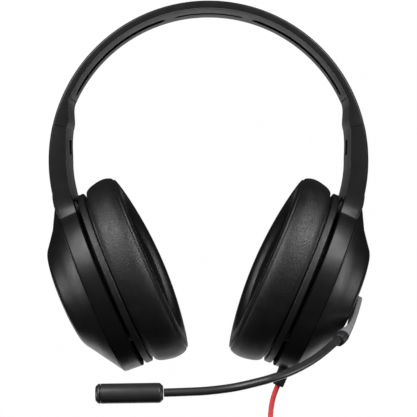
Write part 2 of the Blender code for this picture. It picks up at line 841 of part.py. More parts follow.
def make_bodies():
    add_body("headband", None, Vector((0, 0, 0)), Vector((0, 0, 1)))
    for name, side in SIDES.items():
        arm_origin = strip_point(side, 0, 0, 0)
        add_body(f"{name}_arm", "headband", arm_origin, strip_axes(side)[1])
        add_body(f"{name}_cup", f"{name}_arm", cup_point(side, 0, 0, 0), Y_AXIS)
    outward = cup_axes(LEFT)[1]
    add_body("boom", "left_arm", boom_point(0, 0, COVER_OUTER[0][1]), outward)
    wheel_middle = sum(WHEEL_SPAN) / 2
    add_body("volume_wheel", "left_arm", cup_point(LEFT, *WHEEL_PLACE, wheel_middle), outward)
    button_out = button_point(0, 0, 1) - button_point(0, 0, 0)
    add_body("mute_button", "left_arm", button_point(0, 0, 0), button_out)


def main():
    for old in list(bpy.data.objects):
        bpy.data.objects.remove(old)
    make_bodies()
    make_headband()
    for name, side in SIDES.items():
        make_sleeve(name, side)
        yoke = make_yoke(name, side)
        make_arm_cover(name, side)
        make_slider_fittings(name, side)
        make_outer_cover(name, side)
        make_cup(name, side)
        if side == LEFT:
            make_controls(yoke)
            make_boot(yoke)
    make_boom()
    make_cord()


main()
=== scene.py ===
"""Looks for the gaming headset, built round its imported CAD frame.

Lengths below are millimetres, and the meshes are made in metres in the CAD frame: +Z up, +X the
wearer's left, -Y the wearer's front, the origin under the crown of the headband. The curves of the
band, the cups and the boom repeat the CAD source's, because a piece lies where its CAD node lies.
"""

import math

import bmesh
import bpy
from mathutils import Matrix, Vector


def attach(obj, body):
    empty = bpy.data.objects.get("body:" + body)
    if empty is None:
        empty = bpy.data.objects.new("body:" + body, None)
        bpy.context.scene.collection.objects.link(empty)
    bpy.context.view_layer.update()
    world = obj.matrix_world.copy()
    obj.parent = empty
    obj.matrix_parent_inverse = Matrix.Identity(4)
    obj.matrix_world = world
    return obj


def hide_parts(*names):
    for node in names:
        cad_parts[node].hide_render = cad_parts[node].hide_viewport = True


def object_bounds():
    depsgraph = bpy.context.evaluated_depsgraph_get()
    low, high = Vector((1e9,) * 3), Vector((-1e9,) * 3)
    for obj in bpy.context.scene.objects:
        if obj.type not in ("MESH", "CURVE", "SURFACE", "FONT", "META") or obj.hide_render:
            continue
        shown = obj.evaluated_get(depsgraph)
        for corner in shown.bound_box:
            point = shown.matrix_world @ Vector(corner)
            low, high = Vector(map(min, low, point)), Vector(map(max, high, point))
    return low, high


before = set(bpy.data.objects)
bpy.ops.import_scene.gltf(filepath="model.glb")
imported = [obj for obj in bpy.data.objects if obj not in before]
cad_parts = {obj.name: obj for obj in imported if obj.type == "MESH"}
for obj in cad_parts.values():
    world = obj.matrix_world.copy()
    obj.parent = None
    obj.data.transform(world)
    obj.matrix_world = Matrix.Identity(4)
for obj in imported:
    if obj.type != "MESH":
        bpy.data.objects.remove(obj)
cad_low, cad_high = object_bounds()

MM = 0.001
GAP = 0.3
LEFT = 1
RIGHT = -1
SIDES = {"left": LEFT, "right": RIGHT}
Y_AXIS = Vector((0, 1, 0))
SEGMENTS = 144

# Sizes of the band, arms, cups, boom and lead; most repeat the CAD's, a few are the looks' own
CROWN_TOP = 4.4
BAND_RADIUS = 82.7
CUP_LEAN = math.radians(22.6)
ARC_END = BAND_RADIUS * (math.pi / 2 + CUP_LEAN)
BAND_HALF_WIDTH = 19.0
BAND_WALL = (1.1, 1.6)
SEAM = BAND_RADIUS * math.radians(77)
SEAM_GAP = 0.06
THICKNESS = ((0, 3.9), (95.3, 3.9), (109, 7.6), (130, 9.3), (152, 9.8), (300, 9.8))
LINER_END = 94.5
CROWN_SLOT = (19.3, 2.4)
SIDE_SLOT = (24.5, 91.7, 4.5)
ARM_HALF_WIDTH = 19.5
ARM_WALL = (2.0, 2.2)
ARM_STOP = 170.5
FLARE_START = 150.0
ARM_END = 161.2
COVER_END = 153.0
CUP_S = 200.6
CUP_DEPTH = 5.3
OVAL = 0.81
RING_LOW = -4.55
RING_HIGH = 5.35
RING_OUTER = (48.2, 46.5)
RING_INNER = (45.8, 44.1)
RING_SLOPE = (RING_OUTER[1] - RING_OUTER[0]) / (RING_HIGH - RING_LOW)
WINDOW_SPAN = (116.9, 125.6)
WINDOW_Y = 5.5
WINDOW_HALF = 5.5
RIM_REACH = 0.8
FAIR_AT = 46.5
FAIR_REACH = (5.5, 22)
FAIR_RISE = 1.5
FOOT_DROP = 1.1
BOSS = (33.4, 36.8, 3.4)
HUB_U = -4.0
HUB_PIN_RADIUS = 2.0
BOOM_ANGLE = math.radians(62)
POD_TOP = 25.9
POD_FALL = 0.0019
POD_THICKNESS = 3.0
POD_BACK = 7.2
POD_HALF_WIDTH = 6.8
POD_END = 31.5
POD_DEEPENS = (14.0, 3.5)
COLLAR_A = 20.0
COLLAR_RADIUS = 3.5
TUBE_DIAMETER = 4.0
TUBE_ROUTE = (
    (65.6, -31.7, -170.4),
    (63.8, -34.5, -171.05),
    (58.3, -44.0, -174.15),
    (52.3, -53.0, -177.2),
    (45.1, -62.0, -180.1),
    (38.2, -69.5, -182.2),
    (31.55, -75.5, -183.65),
    (25.0, -79.8, -185.0),
    (12.3, -84.8, -187.25),
    (-0.2, -86.8, -188.6),
    (-11.0, -87.0, -189.15),
    (-20.9, -87.0, -189.5),
)
MIC_START = Vector((-21.2, -87.0, -189.55))
MIC_AXIS = Vector((-1.0, 0.0, -0.014)).normalized()
MIC_RADIUS = 4.7
MIC_LENGTH = 31.7
WHEEL_PLACE = (-20.4, 30.2)
WHEEL_RADIUS = 5.5
WHEEL_SPAN = (0.4, 4.4)
BUTTON_PLACE = (15.0, 36.3)
BUTTON_NORMAL = (0.262, 0.965)
BUTTON_A = 1.0
BUTTON_HALF = (4.0, 2.0)
SLIDER_TRAVEL = 24.0
CORD_DIAMETER = 2.8
BOOT_A = 2.0
BOOT_END = -57.2
LEAD_ROUTE = (
    (36.67, 0.0, -197.05),
    (35.5, 0.0, -199.9),
    (34.5, -0.1, -202.8),
    (33.7, -0.3, -206.0),
    (33.15, -0.6, -209.2),
    (32.85, -1.0, -212.2),
    (32.8, -1.6, -214.8),
    (33.2, -2.2, -217.3),
    (34.1, -2.7, -219.4),
)
COIL_CENTRE = Vector((33.4, 0.0, -243.5))
COIL_RADIUS = 16.8
TAIL_ROUTE = (
    (33.2, -9.0, -230.4),
    (36.4, -9.3, -231.0),
    (38.9, -9.8, -233.2),
    (40.2, -10.3, -236.6),
    (40.6, -10.7, -241.0),
    (40.6, -10.9, -247.0),
    (40.5, -11.0, -254.0),
    (40.5, -11.0, -261.7),
)
PLUG_TOP = Vector((40.5, -11.0, -262.0))
GRIP_LENGTH = 32.0

# The stage, in metres and watts
CAMERA_PLACE = (0.0, -0.750, -0.1032)
CAMERA_LENS = 122.16
LIGHTS_AIM = Vector((0.0, 0.0, -0.1))
LIGHTS = (
    ("left_box", (-0.88, 0.02, -0.30), (0.24, 0.30), 1.15),
    ("right_box", (0.88, 0.02, -0.30), (0.24, 0.30), 1.15),
    ("left_top_box", (-0.56, -0.68, 0.44), (0.50, 0.62), 6.4),
    ("right_top_box", (0.56, -0.68, 0.44), (0.50, 0.62), 6.4),
    ("front_box", (0.0, -1.3, -0.1), (1.0, 0.6), 0.4),
    ("back_wall", (0.0, 1.6, -0.22), (0.9, 0.42), 1.1),
    ("back_box", (0.0, 0.95, -0.75), (1.3, 1.0), 4.6),
)
SEEN_WORLD = 1.0
LIT_WORLD = 0.014


# ---- places ----------------------------------------------------------------


def band_point(s, depth, y):
    """A point under the band's outer surface, at curve length s from the crown."""
    side = math.copysign(1.0, s)
    turn = min(abs(s), ARC_END) / BAND_RADIUS
    past = max(abs(s) - ARC_END, 0.0)
    x = (BAND_RADIUS - depth) * math.sin(turn) + past * math.cos(turn)
    z = (BAND_RADIUS - depth) * math.cos(turn) - past * math.sin(turn)
    return Vector((side * x, y, CROWN_TOP - BAND_RADIUS + z))


def band_depth(point):
    """How far under the band's outer surface a point lies."""
    return BAND_RADIUS - math.hypot(point.x, point.z - CROWN_TOP + BAND_RADIUS)


def cup_axes(side):
    """The upward and the outward direction of a cup."""
    up = Vector((side * math.sin(CUP_LEAN), 0, math.cos(CUP_LEAN)))
    outward = Vector((side * math.cos(CUP_LEAN), 0, -math.sin(CUP_LEAN)))
    return up, outward


def cup_point(side, u, y, a):
    up, outward = cup_axes(side)
    return band_point(side * CUP_S, CUP_DEPTH, 0) + up * u + outward * a + Y_AXIS * y


def boom_point(e, f, a):
    """A point of the boom: e along it from the hub, f across it, a outward from the cup."""
    u = HUB_U - e * math.cos(BOOM_ANGLE) + f * math.sin(BOOM_ANGLE)
    y = -e * math.sin(BOOM_ANGLE) - f * math.cos(BOOM_ANGLE)
    return cup_point(LEFT, u, y, a)


def oval_on(side):
    """Places a turned profile on a cup, squashed front to back."""
    return lambda p, q, a: cup_point(side, p, q * OVAL, a)


def round_on(side, u=0.0, y=0.0):
    return lambda p, q, a: cup_point(side, u + p, y + q, a)


def about(origin, axis):
    """Places a turned profile round any axis, with heights measured along it from origin."""
    turn = axis.to_track_quat("Z", "Y").to_matrix()
    return lambda p, q, h: origin + turn @ Vector((p, q, h))


def thickness(s):
    """How deep the band or an arm is at curve length s."""
    s = abs(s)
    for (s0, t0), (s1, t1) in zip(THICKNESS, THICKNESS[1:]):
        if s <= s1:
            share = (s - s0) / (s1 - s0)
            return t0 + (t1 - t0) * share * share * (3 - 2 * share)
    return THICKNESS[-1][1]


def spread(first, last, count):
    return [first + (last - first) * k / count for k in range(count + 1)]


# ---- shapes: points and faces ------------------------------------------------


def rounded(corners, steps=4, closed=True):
    """An outline with rounded corners; a corner is (x, y, how far back the rounding starts)."""
    points = []
    for k, (x, y, back) in enumerate(corners):
        corner = Vector((x, y))
        if back == 0 or (not closed and k in (0, len(corners) - 1)):
            points.append(corner)
            continue
        before = Vector(corners[k - 1][:2])
        after = Vector(corners[(k + 1) % len(corners)][:2])
        start = corner + (before - corner).normalized() * back
        end = corner + (after - corner).normalized() * back
        for t in spread(0.0, 1.0, steps):
            points.append(start * (1 - t) ** 2 + corner * (2 * t * (1 - t)) + end * t * t)
    return points


def superellipse(half_p, half_q, power, count=32):
    """An outline between a box and an ellipse; power 2 is the ellipse."""

    def bend(value):
        return math.copysign(abs(value) ** (2 / power), value)

    turns = [2 * math.pi * (k + 0.5) / count for k in range(count)]
    return [(half_p * bend(math.cos(t)), half_q * bend(math.sin(t))) for t in turns]


def smooth_line(knots, spacing):
    """Points at about this spacing on a smooth curve through the knots."""
    knots = [Vector(knot) for knot in knots]
    knots = [2 * knots[0] - knots[1], *knots, 2 * knots[-1] - knots[-2]]
    samples = []
    for before, start, end, after in zip(knots, knots[1:], knots[2:], knots[3:]):
        pieces = max(1, round((end - start).length / spacing))
        for k in range(pieces):
            t = k / pieces
            bend = 2 * before - 5 * start + 4 * end - after
            twist = 3 * start - before - 3 * end + after
            samples.append((2 * start + (end - before) * t + bend * t**2 + twist * t**3) / 2)
    return [*samples, knots[-2]]


def loft(sections, closed=False):
    """Points and faces through equal outlines; closed joins the last outline to the first."""
    size = len(sections[0])
    rows = len(sections)
    faces = []
    for row in range(rows if closed else rows - 1):
        here = row * size
        there = (row + 1) % rows * size
        for k in range(size):
            after = (k + 1) % size
            faces.append((here + k, here + after, there + after, there + k))
    if not closed:
        faces.append(tuple(range(size)))
        faces.append(tuple(range((rows - 1) * size, rows * size)))
    return [point for section in sections for point in section], faces


def turned(profile, place, segments=SEGMENTS):
    """Points and faces of a profile of (radius, height), turned; it may start and end on the axis."""
    has_poles = profile[0][0] == 0
    rim = profile[1:-1] if has_poles else profile
    size = len(rim)
    turns = [2 * math.pi * k / segments for k in range(segments)]
    points = [place(r * math.cos(t), r * math.sin(t), h) for t in turns for r, h in rim]
    first, last = len(points), len(points) + 1
    if has_poles:
        points += [place(0, 0, profile[0][1]), place(0, 0, profile[-1][1])]
    faces = []
    for k in range(segments):
        here = k * size
        there = (k + 1) % segments * size
        if has_poles:
            faces.append((first, here, there))
            faces.append((last, there + size - 1, here + size - 1))
        for m in range(size - 1 if has_poles else size):
            after = (m + 1) % size
            faces.append((here + m, here + after, there + after, there + m))
    return points, faces


def rod(radius, start, end):
    return ((0, start), (radius, start), (radius, end), (0, end))


def brick(place, low, high):
    """A box between two corners, in the coordinates that place reads."""
    outline = ((low[0], low[1]), (high[0], low[1]), (high[0], high[1]), (low[0], high[1]))
    return loft([[place(p, q, h) for p, q in outline] for h in (low[2], high[2])])


# ---- objects -----------------------------------------------------------------


def solid(name, shape, sharp=32.0):
    """An object from points and faces, smooth but for edges sharper than this angle."""
    points, faces = shape
    mesh = bpy.data.meshes.new(name)
    mesh.from_pydata([point * MM for point in points], [], faces)
    outward = bmesh.new()
    outward.from_mesh(mesh)
    bmesh.ops.recalc_face_normals(outward, faces=outward.faces)
    outward.to_mesh(mesh)
    outward.free()
    mesh.shade_smooth()
    mesh.set_sharp_from_angle(angle=math.radians(sharp))
    made = bpy.data.objects.new(name, mesh)
    bpy.context.scene.collection.objects.link(made)
    return made


def settle(obj, sharp=32.0):
    """Applies an object's modifiers to its mesh."""
    bpy.context.view_layer.update()
    graph = bpy.context.evaluated_depsgraph_get()
    mesh = bpy.data.meshes.new_from_object(obj.evaluated_get(graph))
    obj.modifiers.clear()
    obj.data = mesh
    mesh.shade_smooth()
    mesh.set_sharp_from_angle(angle=math.radians(sharp))


def combine(target, operation, shapes):
    """Cuts shapes from an object (DIFFERENCE), or joins them on (UNION)."""
    tools = [solid("tool", shape) for shape in shapes]
    for tool in tools:
        modifier = target.modifiers.new("combine", "BOOLEAN")
        modifier.operation = operation
        modifier.solver = "EXACT"
        modifier.object = tool
    settle(target)
    for tool in tools:
        bpy.data.objects.remove(tool)


def dress(obj, body, slot, look=None, replaced=()):
    """Gives a finished piece its material (the slot's look unless another is named) and its body, and
    hides the CAD nodes it stands for.
    """
    obj.data.materials.clear()
    obj.data.materials.append(LOOKS[look or slot])
    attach(obj, body)
    if replaced:
        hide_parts(*replaced)


def tube(name, points, radius, sides=4):
    """A round tube along points."""
    curve = bpy.data.curves.new(name, "CURVE")
    curve.dimensions = "3D"
    curve.bevel_depth = radius * MM
    curve.bevel_resolution = sides
    curve.use_fill_caps = True
    spline = curve.splines.new("POLY")
    spline.points.add(len(points) - 1)
    for knot, point in zip(spline.points, points):
        knot.co = (*(point * MM), 1)
    spline.use_smooth = True
    made = bpy.data.objects.new(name, curve)
    bpy.context.scene.collection.objects.link(made)
    return made


# ---- materials ---------------------------------------------------------------


def node(tree, kind, settings=None, **inputs):
    """Adds a node; an input is a value or another node's socket, underscores for spaces."""
    made = tree.nodes.new(f"ShaderNode{kind}")
    for key, value in (settings or {}).items():
        setattr(made, key, value)
    for key, value in inputs.items():
        socket = made.inputs[int(key[1:])] if key[0] == "i" else made.inputs[key.replace("_", " ")]
        if isinstance(value, bpy.types.NodeSocket):
            tree.links.new(value, socket)
        else:
            socket.default_value = value
    return made


def maths(tree, operation, first, second=0.0):
    return node(tree, "Math", {"operation": operation}, i0=first, i1=second).outputs[0]


def remap(tree, value, low, high, to_low, to_high):
    """value from low..high to to_low..to_high, clamped."""
    made = node(
        tree, "MapRange", None, Value=value, From_Min=low, From_Max=high, To_Min=to_low, To_Max=to_high
    )
    return made.outputs[0]


def noise(tree, size, detail=2.0):
    """Noise with features of about this size in millimetres."""
    coords = node(tree, "TexCoord").outputs["Object"]
    made = node(tree, "TexNoise", None, Vector=coords, Scale=1000.0 / size, Detail=detail)
    return made.outputs["Fac"]


def blank(name):
    material = bpy.data.materials.new(name)
    material.use_nodes = True
    return material, material.node_tree, material.node_tree.nodes["Principled BSDF"]


def mixed(tree, share, first, second):
    made = node(tree, "Mix", {"data_type": "RGBA"})
    for key, value in ((0, share), (6, first), (7, second)):
        if isinstance(value, bpy.types.NodeSocket):
            tree.links.new(value, made.inputs[key])
        else:
            made.inputs[key].default_value = value if key == 0 else (*value, 1.0)
    return made.outputs[2]


def scaled(colour, factor):
    return tuple(min(1.0, channel * factor) for channel in colour)


def add_finish(tree, shader, colour, roughness, height, depth, vary=0.16, wear=0.5):
    """Colour variation, worn edges, uneven roughness and a bump of this depth in millimetres."""
    broad = noise(tree, 22.0, 3.0)
    smudge = noise(tree, 6.0, 4.0)
    tone = mixed(tree, broad, scaled(colour, 1 - vary), scaled(colour, 1 + vary))
    point = node(tree, "NewGeometry").outputs["Pointiness"]
    edge = remap(tree, point, 0.515, 0.60, 0.0, wear)
    worn = maths(tree, "MULTIPLY", edge, remap(tree, smudge, 0.35, 0.65, 0.3, 1.0))
    pale = tuple(channel * 1.6 + 0.012 for channel in colour)
    tree.links.new(mixed(tree, worn, tone, pale), shader.inputs["Base Color"])
    rough = remap(tree, smudge, 0.3, 0.7, roughness - 0.045, roughness + 0.045)
    polish = maths(tree, "MULTIPLY", worn, 0.1)
    tree.links.new(maths(tree, "SUBTRACT", rough, polish), shader.inputs["Roughness"])
    bump = node(tree, "Bump", None, Height=height, Strength=1.0, Distance=depth * MM)
    tree.links.new(bump.outputs["Normal"], shader.inputs["Normal"])


def moulded(name, colour, roughness, grain=0.45, depth=0.012, metallic=0.0, specular=0.5, vary=0.16):
    """Moulded plastic or rubber with a fine spark-eroded texture."""
    material, tree, shader = blank(name)
    shader.inputs["Metallic"].default_value = metallic
    shader.inputs["Specular IOR Level"].default_value = specular
    height = maths(tree, "ADD", noise(tree, grain, 3.0), maths(tree, "MULTIPLY", noise(tree, 2.6), 0.5))
    add_finish(tree, shader, colour, roughness, height, depth, vary)
    return material


def leather(name, colour, roughness, cell=0.8, depth=0.05):
    """Leatherette: rounded cells between creases, and finer pores."""
    material, tree, shader = blank(name)
    shader.inputs["Specular IOR Level"].default_value = 0.85
    coords = node(tree, "TexCoord").outputs["Object"]
    warp = node(tree, "TexNoise", None, Vector=coords, Scale=420.0, Detail=2.0).outputs["Color"]
    push = node(tree, "VectorMath", {"operation": "SCALE"}, i0=warp, Scale=0.0011).outputs[0]
    bent = node(tree, "VectorMath", {"operation": "ADD"}, i0=coords, i1=push).outputs[0]
    cells = node(
        tree, "TexVoronoi", {"feature": "DISTANCE_TO_EDGE"}, Vector=bent, Scale=1000.0 / cell
    ).outputs["Distance"]
    pillow = remap(tree, cells, 0.0, 0.32, 0.0, 1.0)
    pores = maths(tree, "MULTIPLY", noise(tree, 0.35, 3.0), 0.35)
    swell = maths(tree, "MULTIPLY", noise(tree, 5.0, 2.0), 0.6)
    height = maths(tree, "ADD", maths(tree, "ADD", pillow, pores), swell)
    add_finish(tree, shader, colour, roughness, height, depth, 0.2, 0.35)
    shader.inputs["Sheen Weight"].default_value = 0.02
    shader.inputs["Sheen Roughness"].default_value = 0.5
    return material


def woven(name, colour, pitch=0.75, depth=0.16):
    """Acoustic mesh: fine threads that cross on the cup's own directions."""
    material, tree, shader = blank(name)
    shader.inputs["Specular IOR Level"].default_value = 0.12
    coords = node(tree, "TexCoord").outputs["Object"]
    waves = []
    for axis in ("Y", "Z"):
        wave = node(
            tree, "TexWave", {"bands_direction": axis}, Vector=coords, Scale=0.314 * 1000.0 / pitch / 2
        )
        wave.inputs["Distortion"].default_value = 0.4
        waves.append(wave.outputs["Fac"])
    height = maths(tree, "MAXIMUM", *waves)
    add_finish(tree, shader, colour, 0.85, height, depth, 0.25, 0.0)
    return material


def brushed(name, colour, roughness):
    """Metal with fine drawn lines."""
    material, tree, shader = blank(name)
    shader.inputs["Metallic"].default_value = 1.0
    coords = node(tree, "TexCoord").outputs["Object"]
    drawn = node(tree, "Mapping", None, Vector=coords, Scale=(1.0, 1.0, 0.06)).outputs[0]
    lines = node(tree, "TexNoise", None, Vector=drawn, Scale=1500.0, Detail=1.0).outputs["Fac"]
    add_finish(tree, shader, colour, roughness, lines, 0.0012, 0.06, 0.3)
    return material


def board(name, colour):
    """Solder mask over copper tracks."""
    material, tree, shader = blank(name)
    coords = node(tree, "TexCoord").outputs["Object"]
    tracks = node(
        tree, "TexBrick", {"offset": 0.5}, Vector=coords, Scale=260.0, Mortar_Size=0.06,
        Color1=(*colour, 1), Color2=(*scaled(colour, 0.8), 1), Mortar=(*scaled(colour, 1.9), 1),
    )
    add_finish(tree, shader, colour, 0.35, tracks.outputs["Fac"], 0.02)
    tree.links.new(tracks.outputs["Color"], shader.inputs["Base Color"])
    return material


LOOKS = {
    "shell_plastic": moulded("shell_plastic", (0.0085, 0.0085, 0.009), 0.35),
    "liner_rubber": moulded("liner_rubber", (0.058, 0.058, 0.062), 0.6, 0.35, 0.01, specular=0.35),
    # Deep black for painted shade on the liner's slots, the arm covers' windows and the ring's rim
    "painted_shade": moulded("painted_shade", (0.003, 0.003, 0.003), 0.8, specular=0.1),
    # A lighter copy of inner_plastic for the arm and sleeve covers: painted light on their faces
    "inner_plastic_painted_light": moulded("inner_plastic_painted_light", (0.055, 0.055, 0.058), 0.58),
    "spring_steel": brushed("spring_steel", (0.56, 0.56, 0.58), 0.28),
    "inner_plastic": moulded("inner_plastic", (0.022, 0.022, 0.024), 0.5),
    "leatherette": leather("leatherette", (0.0055, 0.0055, 0.006), 0.45),
    "mesh_fabric": woven("mesh_fabric", (0.012, 0.012, 0.013)),
    "boom_silver": moulded("boom_silver", (0.36, 0.36, 0.38), 0.42, 0.3, 0.008, 0.2, vary=0.06),
    "boom_rubber": moulded("boom_rubber", (0.02, 0.02, 0.021), 0.46, 0.5, 0.01),
    "gooseneck": moulded("gooseneck", (0.032, 0.032, 0.033), 0.38, 0.5, 0.01, specular=0.85),
    "cable_red": moulded("cable_red", (0.95, 0.08, 0.085), 0.42, 0.7, 0.012, vary=0.06),
    "board_green": board("board_green", (0.02, 0.12, 0.05)),
}


# ---- camera, lights, floor -----------------------------------------------------


def make_stage():
    """The level front camera, a white world that lights little, area lights and a floor that fades out."""
    scene = bpy.context.scene
    scene.view_settings.view_transform = "Standard"
    camera_data = bpy.data.cameras.new("camera")
    camera_data.lens = CAMERA_LENS
    camera_data.sensor_width = 36.0
    camera_data.clip_end = 20.0
    camera = bpy.data.objects.new("camera", camera_data)
    camera.location = CAMERA_PLACE
    camera.rotation_euler = (math.pi / 2, 0.0, 0.0)
    scene.collection.objects.link(camera)
    scene.camera = camera

    world = bpy.data.worlds.new("studio")
    scene.world = world
    world.use_nodes = True
    tree = world.node_tree
    seen = node(tree, "LightPath").outputs["Is Camera Ray"]
    level = remap(tree, seen, 0.0, 1.0, LIT_WORLD, SEEN_WORLD)
    tree.links.new(level, tree.nodes["Background"].inputs["Strength"])
    tree.nodes["Background"].inputs["Color"].default_value = (0.995, 0.995, 0.995, 1)

    for name, place, size, watts in LIGHTS:
        lamp = bpy.data.lights.new(name, "AREA")
        lamp.shape = "RECTANGLE"
        lamp.size, lamp.size_y = size
        lamp.energy = watts
        light = bpy.data.objects.new(name, lamp)
        light.location = place
        light.rotation_euler = (LIGHTS_AIM - Vector(place)).to_track_quat("-Z", "Y").to_euler()
        light.visible_camera = False
        scene.collection.objects.link(light)

    # The floor clears the plug when the sliders are out
    floor_radius, floor_depth, clearance = 600.0, 4.0, 1.5
    top = cad_low.z / MM - SLIDER_TRAVEL - clearance
    disc = rod(floor_radius, top - floor_depth, top)
    floor = solid("floor", turned(disc, lambda p, q, h: Vector((p, q, h))))
    material, tree, shader = blank("floor")
    coords = node(tree, "TexCoord").outputs["Object"]
    reach = node(tree, "VectorMath", {"operation": "LENGTH"}, i0=coords).outputs["Value"]
    shader.inputs["Base Color"].default_value = (0.86, 0.86, 0.86, 1)
    shader.inputs["Roughness"].default_value = 0.8
    shader.inputs["Emission Color"].default_value = (1, 1, 1, 1)
    shader.inputs["Emission Strength"].default_value = 0.35
    fade = remap(tree, reach, 0.42, 0.595, 1.0, 0.0)
    tree.links.new(fade, shader.inputs["Alpha"])
    floor.data.materials.append(material)
    floor.visible_glossy = False
    floor.visible_diffuse = False
    floor.visible_shadow = False


# ---- headband ----------------------------------------------------------------


def channel(s, half_at, wall, side_wall, inset=0.0):
    """A C-shaped section at s, open towards the head; half_at(depth) is its half width."""
    depth = thickness(s)
    half = half_at(depth)
    corners = (
        (half_at(0) - inset, inset, 1.15),
        (half - inset, depth - inset, 0.4),
        (half - side_wall, depth - inset, 0.4),
        (half - side_wall, wall, 0.7),
    )
    mirrored = [(-y, d, back) for y, d, back in reversed(corners)]
    return [band_point(s, d, y) for y, d in rounded([*corners, *mirrored])]


def plate(s, half, thick, inset):
    """A section of a cover plate, flush with the band's inner surface: (y, depth)."""
    depth = thickness(s)
    low, high = depth - thick, depth - inset
    return rounded(((-half, low, 0), (half, low, 0), (half, high, 0.4), (-half, high, 0.4)))


def ends(first, last, inner_steps, lip=0.15):
    """Stations from first to last with a small chamfer station at each end: (s, inset)."""
    way = math.copysign(1.0, last - first)
    middle = [(s, 0.0) for s in spread(first + way * lip, last - way * lip, inner_steps)]
    return [(first, 0.1), *middle, (last, 0.1)]


def slot_cutter(near, far, half_width, top, under):
    """A slot in the band with round ends."""
    sections = []
    low, high = min(near, far), max(near, far)
    for s in spread(low + 0.02, high - 0.02, 60):
        into = min(s - low, high - s)
        width = half_width
        if into < half_width:
            width = math.sqrt(half_width**2 - (half_width - into) ** 2)
        outline = ((-width, top), (width, top), (width, under), (-width, under))
        sections.append([band_point(s, d, y) for y, d in outline])
    return loft(sections)


def make_headband():
    """The outer shell, and the liner with its three slots."""
    end = SEAM - SEAM_GAP
    sections = [
        channel(s, lambda d: BAND_HALF_WIDTH, *BAND_WALL, inset) for s, inset in ends(-end, end, 150)
    ]
    shell = solid("headband_shell_piece", loft(sections))
    dress(shell, "headband", "shell_plastic", replaced=["headband_shell"])

    half = BAND_HALF_WIDTH - BAND_WALL[1] - GAP
    sections = []
    for s, inset in ends(-LINER_END, LINER_END, 150, 0.6):
        outline = rounded(
            (
                (-half, 3.1, 0),
                (half, 3.1, 0),
                (half, 3.95 - inset, 0.45),
                (11.0, 4.4 - inset, 3.0),
                (-11.0, 4.4 - inset, 3.0),
                (-half, 3.95 - inset, 0.45),
            )
        )
        sections.append([band_point(s, d, y) for y, d in outline])
    liner = solid("headband_liner_piece", loft(sections))
    near, far, width = SIDE_SLOT
    crown_half, crown_width = CROWN_SLOT
    cutters = [slot_cutter(-crown_half, crown_half, crown_width, 3.4, 6.0)]
    cutters += [slot_cutter(side * near, side * far, width, 3.4, 6.0) for side in (RIGHT, LEFT)]
    combine(liner, "DIFFERENCE", cutters)
    dress(liner, "headband", "liner_rubber", replaced=["headband_liner"])
    # Painted shade: the slots' walls and floors are painted deep black
    paint_shade(liner, lambda p: abs(p.y) < 4.7 and 3.3 < band_depth(p) < 4.3)


# ---- arms and yoke rings -------------------------------------------------------


def ring_radius(a):
    low, high = RING_OUTER
    return low + (high - low) * (a - RING_LOW) / (RING_HIGH - RING_LOW)


def cone(radius, low, high):
    """A profile with the ring's slope and this radius at RING_LOW, between two heights."""
    wide, narrow = (radius + RING_SLOPE * (a - RING_LOW) for a in (low, high))
    return ((0, low), (wide, low), (narrow, high), (0, high))


def arm_half_width(s, depth):
    """The half width of an arm, which flares out to flow into the ring."""
    share = min(1.0, max(0.0, s - FLARE_START) / (ARM_END - FLARE_START))
    meets = max(s, ARM_END)
    ring = OVAL * math.sqrt(ring_radius(CUP_DEPTH - depth) ** 2 - (CUP_S - meets) ** 2) - 0.02
    return ARM_HALF_WIDTH + (ring - ARM_HALF_WIDTH) * share**2.2


def ease(value, low, high):
    """0 below low, 1 above high, and smooth between."""
    share = min(1.0, max(0.0, (value - low) / (high - low)))
    return share * share * (3 - 2 * share)


def fair(obj, side):
    """Lets the arm flow into the cover at the top, and lowers the cover's foot a little."""
    up, outward = cup_axes(side)
    centre = cup_point(side, 0, 0, 0)
    for vertex in obj.data.vertices:
        place = vertex.co / MM - centre
        u, a = place.dot(up), place.dot(outward)
        radius = math.hypot(u, place.y / OVAL)
        if a > 4.0:
            near = math.exp(-(((u - FAIR_AT) / FAIR_REACH[0]) ** 2) - (place.y / FAIR_REACH[1]) ** 2)
            vertex.co += outward * (FAIR_RISE * near * MM)
        foot = ease(-u, 0.0, 40.0) * ease(radius, 26.0, 38.0) * ease(a, RING_LOW, RING_HIGH)
        vertex.co -= up * (FOOT_DROP * foot * MM)


def paint_shade(obj, inside):
    """Paints the faces that inside picks by their centres deep black, as painted shade: slots, windows,
    the ring's rim.
    """
    obj.data.materials.append(LOOKS["painted_shade"])
    for face in obj.data.polygons:
        if inside(face.center / MM):
            face.material_index = 1


